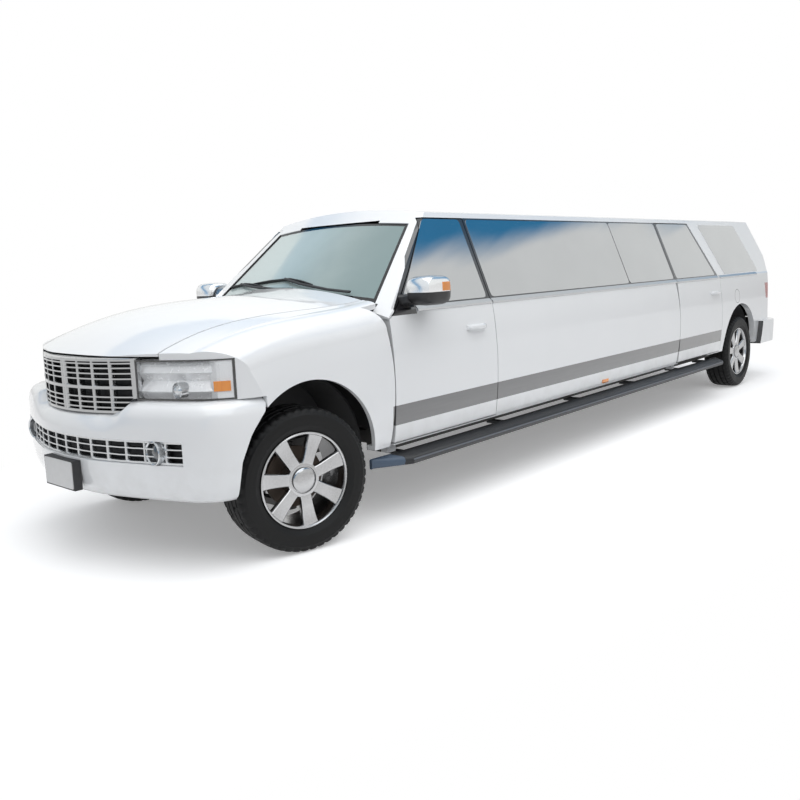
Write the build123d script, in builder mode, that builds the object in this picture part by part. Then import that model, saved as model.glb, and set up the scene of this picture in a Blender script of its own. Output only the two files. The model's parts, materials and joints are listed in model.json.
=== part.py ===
import os
from build123d import *

os.makedirs("parts", exist_ok=True)

# Driving dimensions, in mm: length runs along Y, the front is -Y, the left is +X
wheelbase = 6579
front_overhang = 941
rear_overhang = 1286
body_half_width = 1001
roof_height = 1932
tyre_radius = 400
tyre_width = 275
rim_radius = 268
track_half = 851
wall = 60
skin = 28
shut_gap = 8
fit_gap = 0.4
pin_clearance = 0.06
length = wheelbase + front_overhang + rear_overhang
front_axle_y = front_overhang - length / 2
rear_axle_y = front_axle_y + wheelbase


def at(s):
    return front_axle_y + s


# Cross-section of the cabin, half widths and heights
sill_x = 968
sill_z = 455
bulge_z = 830
belt_x = 966
belt_z = 1262
glass_foot_x = 950
glass_foot_z = 1275
roof_edge_x = 712
roof_edge_z = 1879
roof_edge_radius = 70

# Windscreen: one point on it, the direction up its slope and its bow across the car
screen_point_s = 1270
screen_point_z = 1815
screen_rise = (0, 1.16, 1)
screen_half_chord = 660
screen_bow = 45

# Stations along the car, measured from the front axle
cabin_front_s = 670
cabin_rear_s = 7860
tail_top_s = 7540
tail_belt_s = 7760
tail_low_s = 7810


def side_prism(points, x_from, x_to, grow=0):
    with BuildPart() as prism:
        with BuildSketch(Plane.YZ.offset(x_from)):
            Polygon(*[(at(s), z) for s, z in points], align=None)
            if grow:
                offset(amount=grow, kind=Kind.INTERSECTION)
        extrude(amount=x_to - x_from)
    return prism.part


def front_prism(points, s_from, s_to, grow=0):
    with BuildPart() as prism:
        with BuildSketch(Plane.XZ.offset(-at(s_to))):
            Polygon(*points, align=None)
            if grow:
                offset(amount=grow, kind=Kind.INTERSECTION)
        extrude(amount=s_to - s_from)
    return prism.part


def plan_prism(points, z_from, z_to):
    with BuildPart() as prism:
        with BuildSketch(Plane.XY.offset(z_from)):
            Polygon(*[(x, at(s)) for x, s in points], align=None)
        extrude(amount=z_to - z_from)
    return prism.part


def block(x_from, x_to, s_from, s_to, z_from, z_to):
    with BuildPart() as brick:
        with Locations(((x_from + x_to) / 2, at((s_from + s_to) / 2), (z_from + z_to) / 2)):
            Box(x_to - x_from, s_to - s_from, z_to - z_from)
    return brick.part


def rod(start, end, radius):
    start_v = Vector(*start)
    run = Vector(*end) - start_v
    with BuildPart() as bar:
        with BuildSketch(Plane(origin=start_v, z_dir=run)):
            Circle(radius)
        extrude(amount=run.length)
    return bar.part


def ring(start, end, radius, bore):
    return rod(start, end, radius) - rod(start, end, bore)


def both(shape):
    return [shape, shape.mirror(Plane.YZ)]


def cabin_hull(inset):
    with BuildPart() as hull:
        with BuildSketch(Plane.XZ.offset(-at(cabin_rear_s))):
            with BuildLine():
                Line((-sill_x, sill_z), (sill_x, sill_z))
                ThreePointArc((sill_x, sill_z), (body_half_width, bulge_z), (belt_x, belt_z))
                Line((belt_x, belt_z), (glass_foot_x, glass_foot_z))
                Line((glass_foot_x, glass_foot_z), (roof_edge_x, roof_edge_z))
                ThreePointArc((roof_edge_x, roof_edge_z), (0, roof_height), (-roof_edge_x, roof_edge_z))
                Line((-roof_edge_x, roof_edge_z), (-glass_foot_x, glass_foot_z))
                Line((-glass_foot_x, glass_foot_z), (-belt_x, belt_z))
                ThreePointArc((-belt_x, belt_z), (-body_half_width, bulge_z), (-sill_x, sill_z))
            section = make_face()
            corners = [v for v in section.vertices() if abs(abs(v.X) - roof_edge_x) < 1 and v.Z > 1800]
            fillet(corners, radius=roof_edge_radius)
            if inset:
                offset(amount=-inset, kind=Kind.INTERSECTION)
        extrude(amount=cabin_rear_s - cabin_front_s)
        with BuildSketch(Plane.YZ.offset(-1200)):
            Polygon(
                (at(cabin_front_s), 300), (at(cabin_front_s), 2100), (at(tail_top_s - inset - 60), 2100),
                (at(tail_top_s - inset), roof_height - 40), (at(tail_belt_s - inset), belt_z),
                (at(tail_low_s - inset), 1000), (at(tail_low_s - inset), 300), align=None)
        extrude(amount=2400, mode=Mode.INTERSECT)
        with BuildSketch(Plane.XY.offset(200)):
            with BuildLine():
                wide = body_half_width + 6 - inset
                deep = tail_low_s - inset
                Line((wide, at(600)), (wide, at(7330)))
                ThreePointArc((wide, at(7330)), (0.962 * wide, at(deep - 240)), (0.8 * wide, at(deep - 78)))
                ThreePointArc((0.8 * wide, at(deep - 78)), (0, at(deep)), (-0.8 * wide, at(deep - 78)))
                ThreePointArc((-0.8 * wide, at(deep - 78)), (-0.962 * wide, at(deep - 240)), (-wide, at(7330)))
                Line((-wide, at(7330)), (-wide, at(600)))
                Line((-wide, at(600)), (wide, at(600)))
            make_face()
        extrude(amount=2000, mode=Mode.INTERSECT)
        rise = Vector(*screen_rise).normalized()
        slope = Plane(origin=(0, at(screen_point_s), screen_point_z), x_dir=(1, 0, 0), z_dir=rise)
        radius = (screen_half_chord ** 2 + screen_bow ** 2) / (2 * screen_bow)
        drop = radius - (radius ** 2 - 1200 ** 2) ** 0.5 - screen_bow + inset
        with BuildSketch(slope.offset(-1500)):
            with BuildLine():
                ThreePointArc((-1200, drop), (0, inset - screen_bow), (1200, drop))
                Line((1200, drop), (1200, -1500))
                Line((1200, -1500), (-1200, -1500))
                Line((-1200, -1500), (-1200, drop))
            make_face()
        extrude(amount=3000, mode=Mode.SUBTRACT)
    return hull.part


# Front clip: sections of fenders and hood as (station, crown height, hood edge height)
clip_sections = [(670, 1420, 1330), (-100, 1372, 1262), (-450, 1306, 1196), (-820, 1105, 1030)]
hood_edge_x = 790
shoulder_x = 978
shoulder_drop = 175


def clip_hull(inset):
    with BuildPart() as hull:
        for s, crown, edge in clip_sections:
            with BuildSketch(Plane.XZ.offset(-at(s))):
                with BuildLine():
                    low = edge - shoulder_drop
                    mid = (sill_z + low) / 2
                    Line((-sill_x, sill_z), (sill_x, sill_z))
                    ThreePointArc((sill_x, sill_z), (body_half_width, mid), (shoulder_x, low))
                    ThreePointArc((shoulder_x, low), (928, edge - 58), (hood_edge_x, edge))
                    ThreePointArc((hood_edge_x, edge), (0, crown), (-hood_edge_x, edge))
                    ThreePointArc((-hood_edge_x, edge), (-928, edge - 58), (-shoulder_x, low))
                    ThreePointArc((-shoulder_x, low), (-body_half_width, mid), (-sill_x, sill_z))
                make_face()
                if inset:
                    offset(amount=-inset, kind=Kind.INTERSECTION)
        loft()
        with BuildSketch(Plane.XY.offset(200)):
            with BuildLine():
                nose = -800 + inset
                wide = body_half_width + 4 - inset
                bend = 750 - 0.4 * inset
                Line((-wide, at(700)), (wide, at(700)))
                Line((wide, at(700)), (wide, at(-200)))
                ThreePointArc((wide, at(-200)), (940 - inset, at(nose + 345)), (bend, at(nose + 183)))
                ThreePointArc((bend, at(nose + 183)), (0, at(nose)), (-bend, at(nose + 183)))
                ThreePointArc((-bend, at(nose + 183)), (inset - 940, at(nose + 345)), (-wide, at(-200)))
                Line((-wide, at(-200)), (-wide, at(700)))
            make_face()
        extrude(amount=1500, mode=Mode.INTERSECT)
    return hull.part



# Shut lines and window lines, as stations and heights in the side view
door_foot_z = 470
door_head_z = 1836
roof_z = door_head_z + shut_gap
front_door_line = [(678, door_foot_z), (678, 1215), (790, 1290), (1005, 1500), (1310, door_head_z),
                   (1742, door_head_z), (1742, door_foot_z)]
rear_door_line = [(4880, door_foot_z), (4880, door_head_z), (5690, door_head_z), (5985, belt_z),
                  (5985, door_foot_z)]
glass_low_z = 1292
glass_high_z = 1806
front_window_line = [(850, glass_low_z), (1045, 1500), (1330, glass_high_z), (1690, glass_high_z),
                     (1690, glass_low_z)]
rear_window_line = [(4935, glass_low_z), (4935, glass_high_z), (5640, glass_high_z), (5900, glass_low_z)]
stretch_window_lines = [
    [(1800, glass_low_z), (1800, glass_high_z), (3880, glass_high_z), (3880, glass_low_z)],
    [(3920, glass_low_z), (3920, glass_high_z), (4830, glass_high_z), (4830, glass_low_z)],
]
quarter_window_line = [(6200, glass_low_z), (5965, glass_high_z), (7030, glass_high_z), (7264, glass_low_z)]
hinge_x = 960
hinge_setback = 32
hinge_heights = [640, 1040]
hinge_pin_radius = 8
hinge_arm = 8
post_x = 896
tail_line = [(-740, 716), (740, 716), (740, belt_z), (600, 1836), (-600, 1836), (-740, belt_z)]
tail_window_line = [(-620, 1330), (620, 1330), (520, 1770), (-520, 1770)]
far_x = 1300

cabin_outer = cabin_hull(0)
cabin_inner = cabin_hull(wall)
cabin_shell = cabin_outer - cabin_inner
glass_depth = 8
glass_thick = 5
glass_shell = cabin_hull(glass_depth) - cabin_hull(glass_depth + glass_thick)
clip_outer = clip_hull(0)
clip_shell = clip_outer - clip_hull(skin)

nodes = []


def keep(name, shape):
    if isinstance(shape, (list, tuple)):
        solids = []
        for piece in shape:
            solids.extend(piece.solids())
    else:
        solids = shape.solids()
    part = solids[0] if len(solids) == 1 else Compound(children=solids)
    part.label = name
    export_step(part, f"parts/{name}.step")
    nodes.append(name)


def arch(s_centre, x_from, x_to, radius, z_centre):
    return rod((x_from, at(s_centre), z_centre), (x_to, at(s_centre), z_centre), radius)


arch_radius = 505
arch_z = 440
front_arch = arch(0, 560, far_x, arch_radius, arch_z)
rear_arch = arch(wheelbase, 560, far_x, arch_radius, arch_z)
sill_cut = block(0, sill_x - wall + 2, 500, 8000, 300, 620) + block(0, 896, 600, 900, 300, 1300)


def hinge_wedge(edge_s, z_from, z_to):
    edge = edge_s - shut_gap
    reach = 130
    return plan_prism([(body_half_width, edge), (body_half_width, edge + 2),
                       (body_half_width - reach, edge + 2), (body_half_width - reach, edge - reach)],
                      z_from, z_to)


def door(line, windows):
    panel = cabin_shell & side_prism(line, 640, far_x)
    panel = panel - sill_cut
    for window in windows:
        panel = panel - side_prism(window, 500, far_x)
    edge = line[0][0]
    for z in hinge_heights:
        axis_y = edge + hinge_setback
        panel = panel - block(hinge_x - 90, hinge_x + hinge_arm + 6, edge - 40, axis_y + hinge_arm + 6,
                              z - 28, z + 28)
        panel = panel - rod((hinge_x, at(axis_y), z - 60), (hinge_x, at(axis_y), z + 60),
                            hinge_pin_radius + pin_clearance)
    return panel


def hinges(line):
    edge = line[0][0]
    arms = []
    for z in hinge_heights:
        axis_y = edge + hinge_setback
        arm = block(post_x, hinge_x, axis_y - hinge_arm, axis_y + hinge_arm, z - 22, z + 22)
        pin = rod((hinge_x, at(axis_y), z - 58), (hinge_x, at(axis_y), z + 58), hinge_pin_radius)
        arms.append(arm + pin)
    return arms


front_door = door(front_door_line, [front_window_line])
rear_door = door(rear_door_line, [rear_window_line])
keep("front_door_left", front_door)
keep("front_door_right", front_door.mirror(Plane.YZ))
keep("rear_door_left", rear_door)
keep("rear_door_right", rear_door.mirror(Plane.YZ))
front_pane = glass_shell & side_prism(front_window_line, 500, far_x, grow=-fit_gap)
rear_pane = glass_shell & side_prism(rear_window_line, 500, far_x, grow=-fit_gap)
keep("front_door_glass_left", front_pane)
keep("front_door_glass_right", front_pane.mirror(Plane.YZ))
keep("rear_door_glass_left", rear_pane)
keep("rear_door_glass_right", rear_pane.mirror(Plane.YZ))

hinge_set = hinges(front_door_line) + hinges(rear_door_line)
keep("door_hinges", hinge_set + [h.mirror(Plane.YZ) for h in hinge_set])

# Roof, pillars, side panels and quarter panels are one shell split along flat seams
front_opening = side_prism(front_door_line, 500, far_x, grow=shut_gap)
rear_opening = side_prism(rear_door_line, 500, far_x, grow=shut_gap)
tail_opening = front_prism(tail_line, 7300, 7960, grow=shut_gap)
screen_rise_unit = Vector(*screen_rise).normalized()
screen_face = Plane(origin=(0, at(screen_point_s), screen_point_z), x_dir=(1, 0, 0),
                    z_dir=(0, -screen_rise_unit.Z, screen_rise_unit.Y))


def screen_prism(grow):
    with BuildPart() as prism:
        with BuildSketch(screen_face.offset(-260)):
            Polygon((-820, -745), (820, -745), (655, -12), (-655, -12), align=None)
            if grow:
                offset(amount=grow, kind=Kind.INTERSECTION)
        extrude(amount=520)
    return prism.part


with BuildPart() as below_screen:
    with BuildSketch(screen_face.offset(-260)):
        Polygon((-far_x, -1500), (far_x, -1500), (far_x, -745), (-far_x, -745), align=None)
    extrude(amount=520)

roof = cabin_shell & block(-far_x, far_x, cabin_front_s, cabin_rear_s, roof_z, 2100)
roof = roof - screen_prism(0) - tail_opening
keep("roof", roof)
left_shell = cabin_shell & block(400, far_x, cabin_front_s, cabin_rear_s, 300, roof_z)
left_shell = left_shell - front_opening - rear_opening - tail_opening - rear_arch
left_shell = left_shell - screen_prism(0)
left_shell = left_shell - block(0, 842, cabin_front_s - 1, 7900, 300, 632)
left_shell = left_shell - block(0, 842, 7300, 7900, 300, 708)
left_shell = left_shell - (block(0, 842, cabin_front_s - 1, 900, 300, 1420) & below_screen.part)
lamp_tail_line = [(752, 960), (752, 1142), (far_x, 1142), (far_x, 960)]
left_shell = left_shell - front_prism(lamp_tail_line, 7420, 8000)
left_shell = left_shell - hinge_wedge(4880, door_foot_z - shut_gap, belt_z)
for window in stretch_window_lines + [quarter_window_line]:
    left_shell = left_shell - side_prism(window, 500, far_x)
middle_s = (1742 + shut_gap + 4880) / 2
front_pillar = left_shell & block(0, far_x, cabin_front_s, 1740, 300, roof_z)
side_panel = left_shell & block(0, far_x, 1745, 4880, 300, belt_z)
side_frame = left_shell & block(0, far_x, 1745, 4880, belt_z, roof_z)
quarter = left_shell & block(0, far_x, 5650, cabin_rear_s, 300, roof_z)
post = block(842, post_x, 690, 765, 395, 1150)
rear_post = block(842, post_x, 4892, 4965, 395, 1150)
keep("pillars", both(side_frame) + both(front_pillar) + both(post) + both(rear_post))
keep("side_panels", both(side_panel))
keep("quarter_panels", both(quarter))
panes = []
for window in stretch_window_lines + [quarter_window_line]:
    panes.extend(both(glass_shell & side_prism(window, 500, far_x, grow=-fit_gap)))
keep("side_glass", panes)
keep("windscreen", glass_shell & screen_prism(-fit_gap))

# Tailgate
tail_hinge_z = 1806
tail_hinge_s = 7554
tail_pin_radius = 6
tail_hinge_x = 400
tailgate = cabin_shell & front_prism(tail_line, 7300, 7960)
tail_arms = []
for x in (-tail_hinge_x, tail_hinge_x):
    tailgate = tailgate - block(x - 24, x + 24, 7440, tail_hinge_s + 8, tail_hinge_z - 14, 1900)
    tailgate = tailgate - rod((x - 60, at(tail_hinge_s), tail_hinge_z), (x + 60, at(tail_hinge_s), tail_hinge_z),
                              tail_pin_radius + pin_clearance)
    arm = block(x - 18, x + 18, 7440, tail_hinge_s, tail_hinge_z - 6, tail_hinge_z + 6)
    riser = cabin_hull(wall + fit_gap) & block(x - 18, x + 18, 7440, 7466, tail_hinge_z - 6, 1900)
    pin = rod((x - 58, at(tail_hinge_s), tail_hinge_z), (x + 58, at(tail_hinge_s), tail_hinge_z), tail_pin_radius)
    tail_arms.append(arm + riser + pin)
keep("tailgate_hinges", tail_arms)
tailgate = tailgate - front_prism(tail_window_line, 7200, 7960)
tail_pane = glass_shell & front_prism(tail_window_line, 7300, 7960, grow=-fit_gap)
keep("tailgate", tailgate)
keep("tailgate_glass", tail_pane)
tail_lamp = (cabin_outer - cabin_hull(50)) & front_prism(lamp_tail_line, 7420, 8000, grow=-fit_gap)
keep("tail_lamps", both(tail_lamp))
keep("rear_panel", cabin_shell & block(-841, 841, 7600, 7900, 520, 708))

# Front clip: hood, fenders, headlamps, grille
hood_line = [(-762, 660), (762, 660), (640, -560), (590, -900), (-590, -900), (-640, -560)]
hood_nose_z = 1132
hood_hinge_s = 632
hood_hinge_z = 1366
hood = clip_shell & plan_prism(hood_line, hood_nose_z, 1500)
hood_arms = []
for x in (-230, 230):
    side = 1 if x > 0 else -1
    ear = block(x + side * 46 - 20, x + side * 46 + 20, 606, 656, hood_hinge_z - 18, 1480) & clip_outer
    hood = hood + ear
    hood = hood - rod((x - 80, at(hood_hinge_s), hood_hinge_z), (x + 80, at(hood_hinge_s), hood_hinge_z),
                      hinge_pin_radius + pin_clearance)
    arm = block(x - 18, x + 18, hood_hinge_s - 10, hood_hinge_s + 8, 1276, hood_hinge_z + 8)
    arm = arm + block(x - 18, x + 18, hood_hinge_s - 10, cabin_front_s, 1276, 1326)
    pin = rod((x, at(hood_hinge_s), hood_hinge_z), (x + side * 64, at(hood_hinge_s), hood_hinge_z), hinge_pin_radius)
    hood_arms.append(arm + pin)
keep("hood", hood)
bumper_line = [(-1000, 380), (-1000, 832), (-560, 832), (-430, 905), (-280, 905), (-280, 380)]
lamp_line = [(505, 905), (505, 1112), (880, 1112), (940, 1085), (far_x, 1085), (far_x, 905)]
nose_cut = front_prism([(-1100, 300), (1100, 300), (1100, 905), (-1100, 905)], -1000, -300)
grille_gap = front_prism([(-510, 700), (510, 700), (510, hood_nose_z + 30), (-510, hood_nose_z + 30)], -1000, -560)
lamp_space = front_prism(lamp_line, -1000, -520)
fender = clip_shell & block(300, far_x, -900, 670, 400, 1500)
hood_opening = [(x + (shut_gap if x > 0 else 0), s + (2 * shut_gap if s > 0 else 0)) for x, s in hood_line]
fender = fender - plan_prism(hood_opening, 600, 1500)
fender = fender - nose_cut - lamp_space - front_arch - block(0, 905, -1000, 700, 300, 700)
fender = fender - hinge_wedge(678, 300, 1400) - grille_gap
keep("fenders", both(fender))
lamp = (clip_outer - clip_hull(90)) & front_prism(lamp_line, -1000, -520, grow=-fit_gap)
keep("headlamps", both(lamp & block(300, far_x, -1000, -300, 800, 1200)))

# Front bumper with its lower opening, grilles and plate holder
bumper_nose = -105
bumper_low_z = 420
bumper_high_z = 905


def bumper_hull(inset):
    with BuildPart() as hull:
        with BuildSketch(Plane.XY.offset(bumper_low_z + inset)):
            with BuildLine():
                nose = -800 + bumper_nose + inset
                wide = body_half_width - inset
                bend = 750 - 0.4 * inset
                Line((-wide, at(-300)), (wide, at(-300)))
                Line((wide, at(-300)), (wide, at(-380)))
                ThreePointArc((wide, at(-380)), (935 - inset, at(nose + 325)), (bend, at(nose + 183)))
                ThreePointArc((bend, at(nose + 183)), (0, at(nose)), (-bend, at(nose + 183)))
                ThreePointArc((-bend, at(nose + 183)), (inset - 935, at(nose + 325)), (-wide, at(-380)))
                Line((-wide, at(-380)), (-wide, at(-300)))
            make_face()
        extrude(amount=bumper_high_z - bumper_low_z - 2 * inset)
    return hull.part


bumper_core = bumper_hull(50) - block(-far_x, far_x, -1200, 0, 798, 1000)
bumper = bumper_hull(0) - bumper_core
bumper = bumper - block(-far_x, far_x, -620, 0, 300, 470) - block(-840, 840, -620, 0, 300, 960)
bumper = bumper - front_arch - front_arch.mirror(Plane.YZ)
bumper = bumper - front_prism([(-505, 848), (505, 848), (505, 960), (-505, 960)], -1100, -100)
lower_line = [(-880, 655), (880, 655), (900, 770), (-900, 770)]
bumper = bumper - front_prism(lower_line, -1100, -400)
keep("front_bumper", bumper)


def lattice(line, frame, columns, rows, bar):
    with BuildPart() as grid:
        with BuildSketch(Plane.XZ.offset(-at(-400))):
            Polygon(*line, align=None)
            with BuildSketch(mode=Mode.PRIVATE) as inside:
                Polygon(*line, align=None)
                offset(amount=-frame, kind=Kind.INTERSECTION)
            add(inside.sketch, mode=Mode.SUBTRACT)
            for x in columns:
                with Locations((x, 800)):
                    Rectangle(bar, 3000)
            for z in rows:
                with Locations((0, z)):
                    Rectangle(4000, bar)
            with BuildSketch(mode=Mode.PRIVATE) as whole:
                Polygon(*line, align=None)
            add(whole.sketch, mode=Mode.INTERSECT)
        extrude(amount=900)
    return grid.part


grille_line = [(-500, 930), (-420, 848), (420, 848), (500, 930), (500, 1124), (-500, 1124)]
grille_columns = [-380, -285, -190, -95, 0, 95, 190, 285, 380]
grille_rows = [885, 915, 945, 1010, 1040, 1070, 1100]
grille = lattice(grille_line, 22, grille_columns, grille_rows, 8)
grille_bar = front_prism([(-500, 957), (500, 957), (500, 990), (-500, 990)], -1200, -400)
grille = (grille + grille_bar) & (clip_hull(-6) - clip_hull(34))
keep("upper_grille", grille)
lower_fit = [(-879.6, 655.4), (879.6, 655.4), (899.6, 769.6), (-899.6, 769.6)]
lower = lattice(lower_fit, 14, [], [693, 732], 9) & (bumper_hull(4) - bumper_hull(46))
keep("lower_grille", lower)
plate = block(-160, 160, -front_overhang, -850, 430, 590) - bumper_hull(-fit_gap)
keep("plate_holder", plate)

# Rear bumper and tail lamps
rear_bumper = cabin_hull(-55) & block(-far_x, far_x, 7150, 7950, 430, 700)
rear_bumper = rear_bumper - cabin_hull(-0.4) - rear_arch - rear_arch.mirror(Plane.YZ)
rear_bumper = rear_bumper - block(-far_x, far_x, 7000, 7180, 300, 800) - block(-842, 842, 7000, 7700, 300, 800)
keep("rear_bumper", rear_bumper)

# Running boards, frame, floor and firewall
board = block(930, 1105, 560, 5850, 345, 400)
board_stays = [block(790, 930, s - 20, s + 20, 365, 395) for s in (800, 1900, 3000, 4000, 5000, 5700)]
for stay in board_stays:
    board = board + stay
keep("running_boards", both(board))
rocker = block(720, 842, 690, 6040, 395, 540)
rail = block(400, 500, -620, 7700, 395, 515)
frame = rail + rail.mirror(Plane.YZ) + rocker + rocker.mirror(Plane.YZ)
for station in (-580, 1400, 2400, 3400, 4400, 5300, 6100, 7060, 7650):
    frame = frame + block(-500, 500, station - 40, station + 40, 440, 515)
for station in (760, 1500, 2700, 3900, 4930, 5700):
    outrigger = block(480, 760, station - 40, station + 40, 430, 510)
    frame = frame + outrigger + outrigger.mirror(Plane.YZ)
frame = frame - rod((-600, at(wheelbase), tyre_radius), (600, at(wheelbase), tyre_radius), 50)
for station in (1150, 5400):
    pad = block(425, 475, station, station + 100, 383, 396)
    frame = frame + pad + pad.mirror(Plane.YZ)
keep("chassis_frame", frame)
liner_radius = arch_radius + 20
well = arch(wheelbase, 550, far_x, liner_radius + fit_gap, arch_z)
floor = block(-841, 841, 688, 7640, 540, 560) - well - well.mirror(Plane.YZ)
floor = floor + block(-500, 500, 688, 7640, 515, 540)
floor = floor & cabin_hull(wall + fit_gap)
keep("floor_pan", floor)
cowl = cabin_outer & block(-841, 841, 670, 800, 1150, 1420) & below_screen.part
firewall = cowl + block(-841, 841, 670, 688, 540, 1200)
for piece in hood_arms:
    firewall = firewall + piece
keep("firewall", firewall)
engine = block(-270, 270, -330, 520, 515, 1020)
keep("engine", engine)
gearbox = rod((0, at(520), 560), (0, at(560), 560), 150) + rod((0, at(520), 405), (0, at(1250), 405), 100)
shaft = rod((0, at(1250), 390), (0, at(6480), 390), 38)
final_drive = rod((-120, at(wheelbase), tyre_radius), (120, at(wheelbase), tyre_radius), 108)
half_shafts = rod((-690, at(wheelbase), tyre_radius), (690, at(wheelbase), tyre_radius), 24)
keep("driveline", gearbox + shaft + final_drive + half_shafts)
radiator = block(-430, 430, -616, -560, 515, 1090)
keep("radiator", radiator)
liners = []
for station, end_x, foot_z in ((0, 840, 470), (wheelbase, 904, 520)):
    hoop = arch(station, 556, end_x, liner_radius, arch_z) - arch(station, 500, far_x, liner_radius - 12, arch_z)
    hoop = hoop - block(0, far_x, station - 700, station + 700, -300, foot_z)
    liners.extend(both(hoop))
keep("wheel_liners", liners)

# Wheels: the tyre is turned about the axle, the rim carries seven spokes
spoke_count = 7
hub_radius = 85
spindle_radius = 30
rim_half = 118


def tyre():
    half = tyre_width / 2
    bead = rim_radius + fit_gap
    side = [(half - 24, bead), (half - 8, rim_radius + 22), (half, rim_radius + 62),
            (half - 12, tyre_radius - 34), (half - 30, tyre_radius - 8), (half - 52, tyre_radius)]
    with BuildPart() as ring_part:
        with BuildSketch(Plane.XZ):
            Polygon(*side, *[(-x, r) for x, r in reversed(side)], align=None)
        revolve(axis=Axis.X)
    return ring_part.part


def rim():
    with BuildPart() as wheel:
        with BuildSketch(Plane.XZ):
            Polygon((-rim_half, rim_radius), (-rim_half, rim_radius - 12), (-rim_half + 20, rim_radius - 24),
                    (rim_half - 20, rim_radius - 20), (rim_half, rim_radius - 10), (rim_half, rim_radius), align=None)
        revolve(axis=Axis.X)
        with BuildSketch(Plane.YZ.offset(rim_half - 50)):
            Circle(hub_radius)
        extrude(amount=40)
        with BuildSketch(Plane.YZ.offset(rim_half - 46)):
            with PolarLocations(0, spoke_count):
                with Locations((150, 0)):
                    Rectangle(210, 62)
        extrude(amount=34)
        with BuildSketch(Plane.YZ.offset(-40)):
            Circle(hub_radius - 20)
        extrude(amount=rim_half)
        with BuildSketch(Plane.YZ.offset(-30)):
            Circle(175)
        extrude(amount=26)
        with BuildSketch(Plane.YZ.offset(-50)):
            Circle(spindle_radius + pin_clearance)
        extrude(amount=100, mode=Mode.SUBTRACT)
    return wheel.part & rod((-200, 0, 0), (200, 0, 0), rim_radius)


kingpin_x = 770
steer_rest = -13


def steered(side):
    return Pos(side * kingpin_x, front_axle_y, 0) * Rot(0, 0, steer_rest) * Pos(-side * kingpin_x, 0, 0)


tyre_part = tyre()
rim_part = rim()
wheel_table = [("front_left", 1, front_axle_y), ("front_right", -1, front_axle_y),
               ("rear_left", 1, rear_axle_y), ("rear_right", -1, rear_axle_y)]
for name, side, y in wheel_table:
    place = Pos(side * track_half, y, tyre_radius)
    if y == front_axle_y:
        place = steered(side) * Pos(side * track_half, 0, tyre_radius)
    turned = rim_part if side > 0 else rim_part.mirror(Plane.YZ)
    keep(f"tyre_{name}", place * tyre_part)
    keep(f"rim_{name}", place * turned)

# Knuckles on their kingpins, and the arms that carry them
pin_radius = 16
arm_low_z = 225
arm_high_z = 560
knuckle = block(kingpin_x - 22, kingpin_x + 22, -45, 45, 270, 515)
knuckle = knuckle + rod((kingpin_x, at(0), tyre_radius), (track_half + 40, at(0), tyre_radius), spindle_radius)
knuckle = knuckle + rod((kingpin_x, at(0), arm_low_z - 28), (kingpin_x, at(0), arm_high_z + 28), pin_radius)
for name, side, upright in (("left", 1, knuckle), ("right", -1, knuckle.mirror(Plane.YZ))):
    keep(f"knuckle_{name}", steered(side) * Pos(0, -front_axle_y, 0) * upright)


def arm(z):
    boss = rod((kingpin_x, at(0), z - 22), (kingpin_x, at(0), z + 22), 34)
    bar = block(440, kingpin_x, -26, 26, z - 18, z + 18)
    bore = rod((kingpin_x, at(0), z - 80), (kingpin_x, at(0), z + 80), pin_radius + pin_clearance)
    return (boss + bar) - bore


tower = block(400, 500, -60, 60, 515, 600)
strut = block(420, 480, -60, 60, 200, 395)
keep("front_suspension", both(arm(arm_low_z) - block(0, 440, -90, 90, 0, 900)) + both(arm(arm_high_z) - block(0, 500, -90, 90, 500, 700)) + both(tower) + both(strut - block(0, 900, -30, 30, 0, 247)))
carrier = block(690, 760, wheelbase - 60, wheelbase + 60, 290, 510)
carrier = carrier + rod((690, at(wheelbase), tyre_radius), (track_half + 40, at(wheelbase), tyre_radius), spindle_radius)
carrier = carrier + block(500, 700, wheelbase - 80, wheelbase + 80, 440, 500)
keep("rear_suspension", both(carrier))

# Cabin fittings
dash = cabin_hull(wall + 12) & block(-820, 820, 700, 960, 800, 1150)
keep("dashboard", dash)
seats = []
for x in (-400, 400):
    seat = block(x - 260, x + 260, 1150, 1640, 560, 840)
    back = side_prism([(1600, 800), (1730, 800), (1860, 1500), (1760, 1500)], x - 260, x + 260)
    seats.append(seat + back)
keep("front_seats", seats)
keep("partition", (cabin_hull(wall + fit_gap) & block(-far_x, far_x, 1905, 1935, 560, 1300)) - block(842, far_x, 1800, 2000, 0, 560))
lounge = block(350, 830, 2500, 5700, 560, 900) + block(-540, 540, 5760, 6300, 560, 900)
keep("lounge_seats", lounge & cabin_hull(wall + 12))
with BuildPart() as wheel_ring:
    with BuildSketch(Plane.XZ):
        with Locations((190, 0)):
            RegularPolygon(17, 8)
    revolve(axis=Axis.Z)
    Cylinder(60, 30)
    Box(380, 34, 22)
column_place = Pos(400, at(1085), 1075) * Rot(62, 0, 0)
steering = column_place * wheel_ring.part
steering = steering + rod((400, at(1085), 1075), (400, at(950), 1010), 26)
steering = steering - block(-far_x, far_x, 600, 960, 300, 1200)
keep("steering_wheel", steering)
mirror_head = block(985, 1166, 830, 1010, 1292, 1460) + block(930, 1000, 850, 930, 1310, 1372)
mirror_head = mirror_head - cabin_hull(-fit_gap)
keep("mirror_left", mirror_head)
keep("mirror_right", mirror_head.mirror(Plane.YZ))
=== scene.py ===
import json
import math
import bmesh
import bpy
from mathutils import Matrix, Vector
from mathutils.bvhtree import BVHTree


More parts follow.
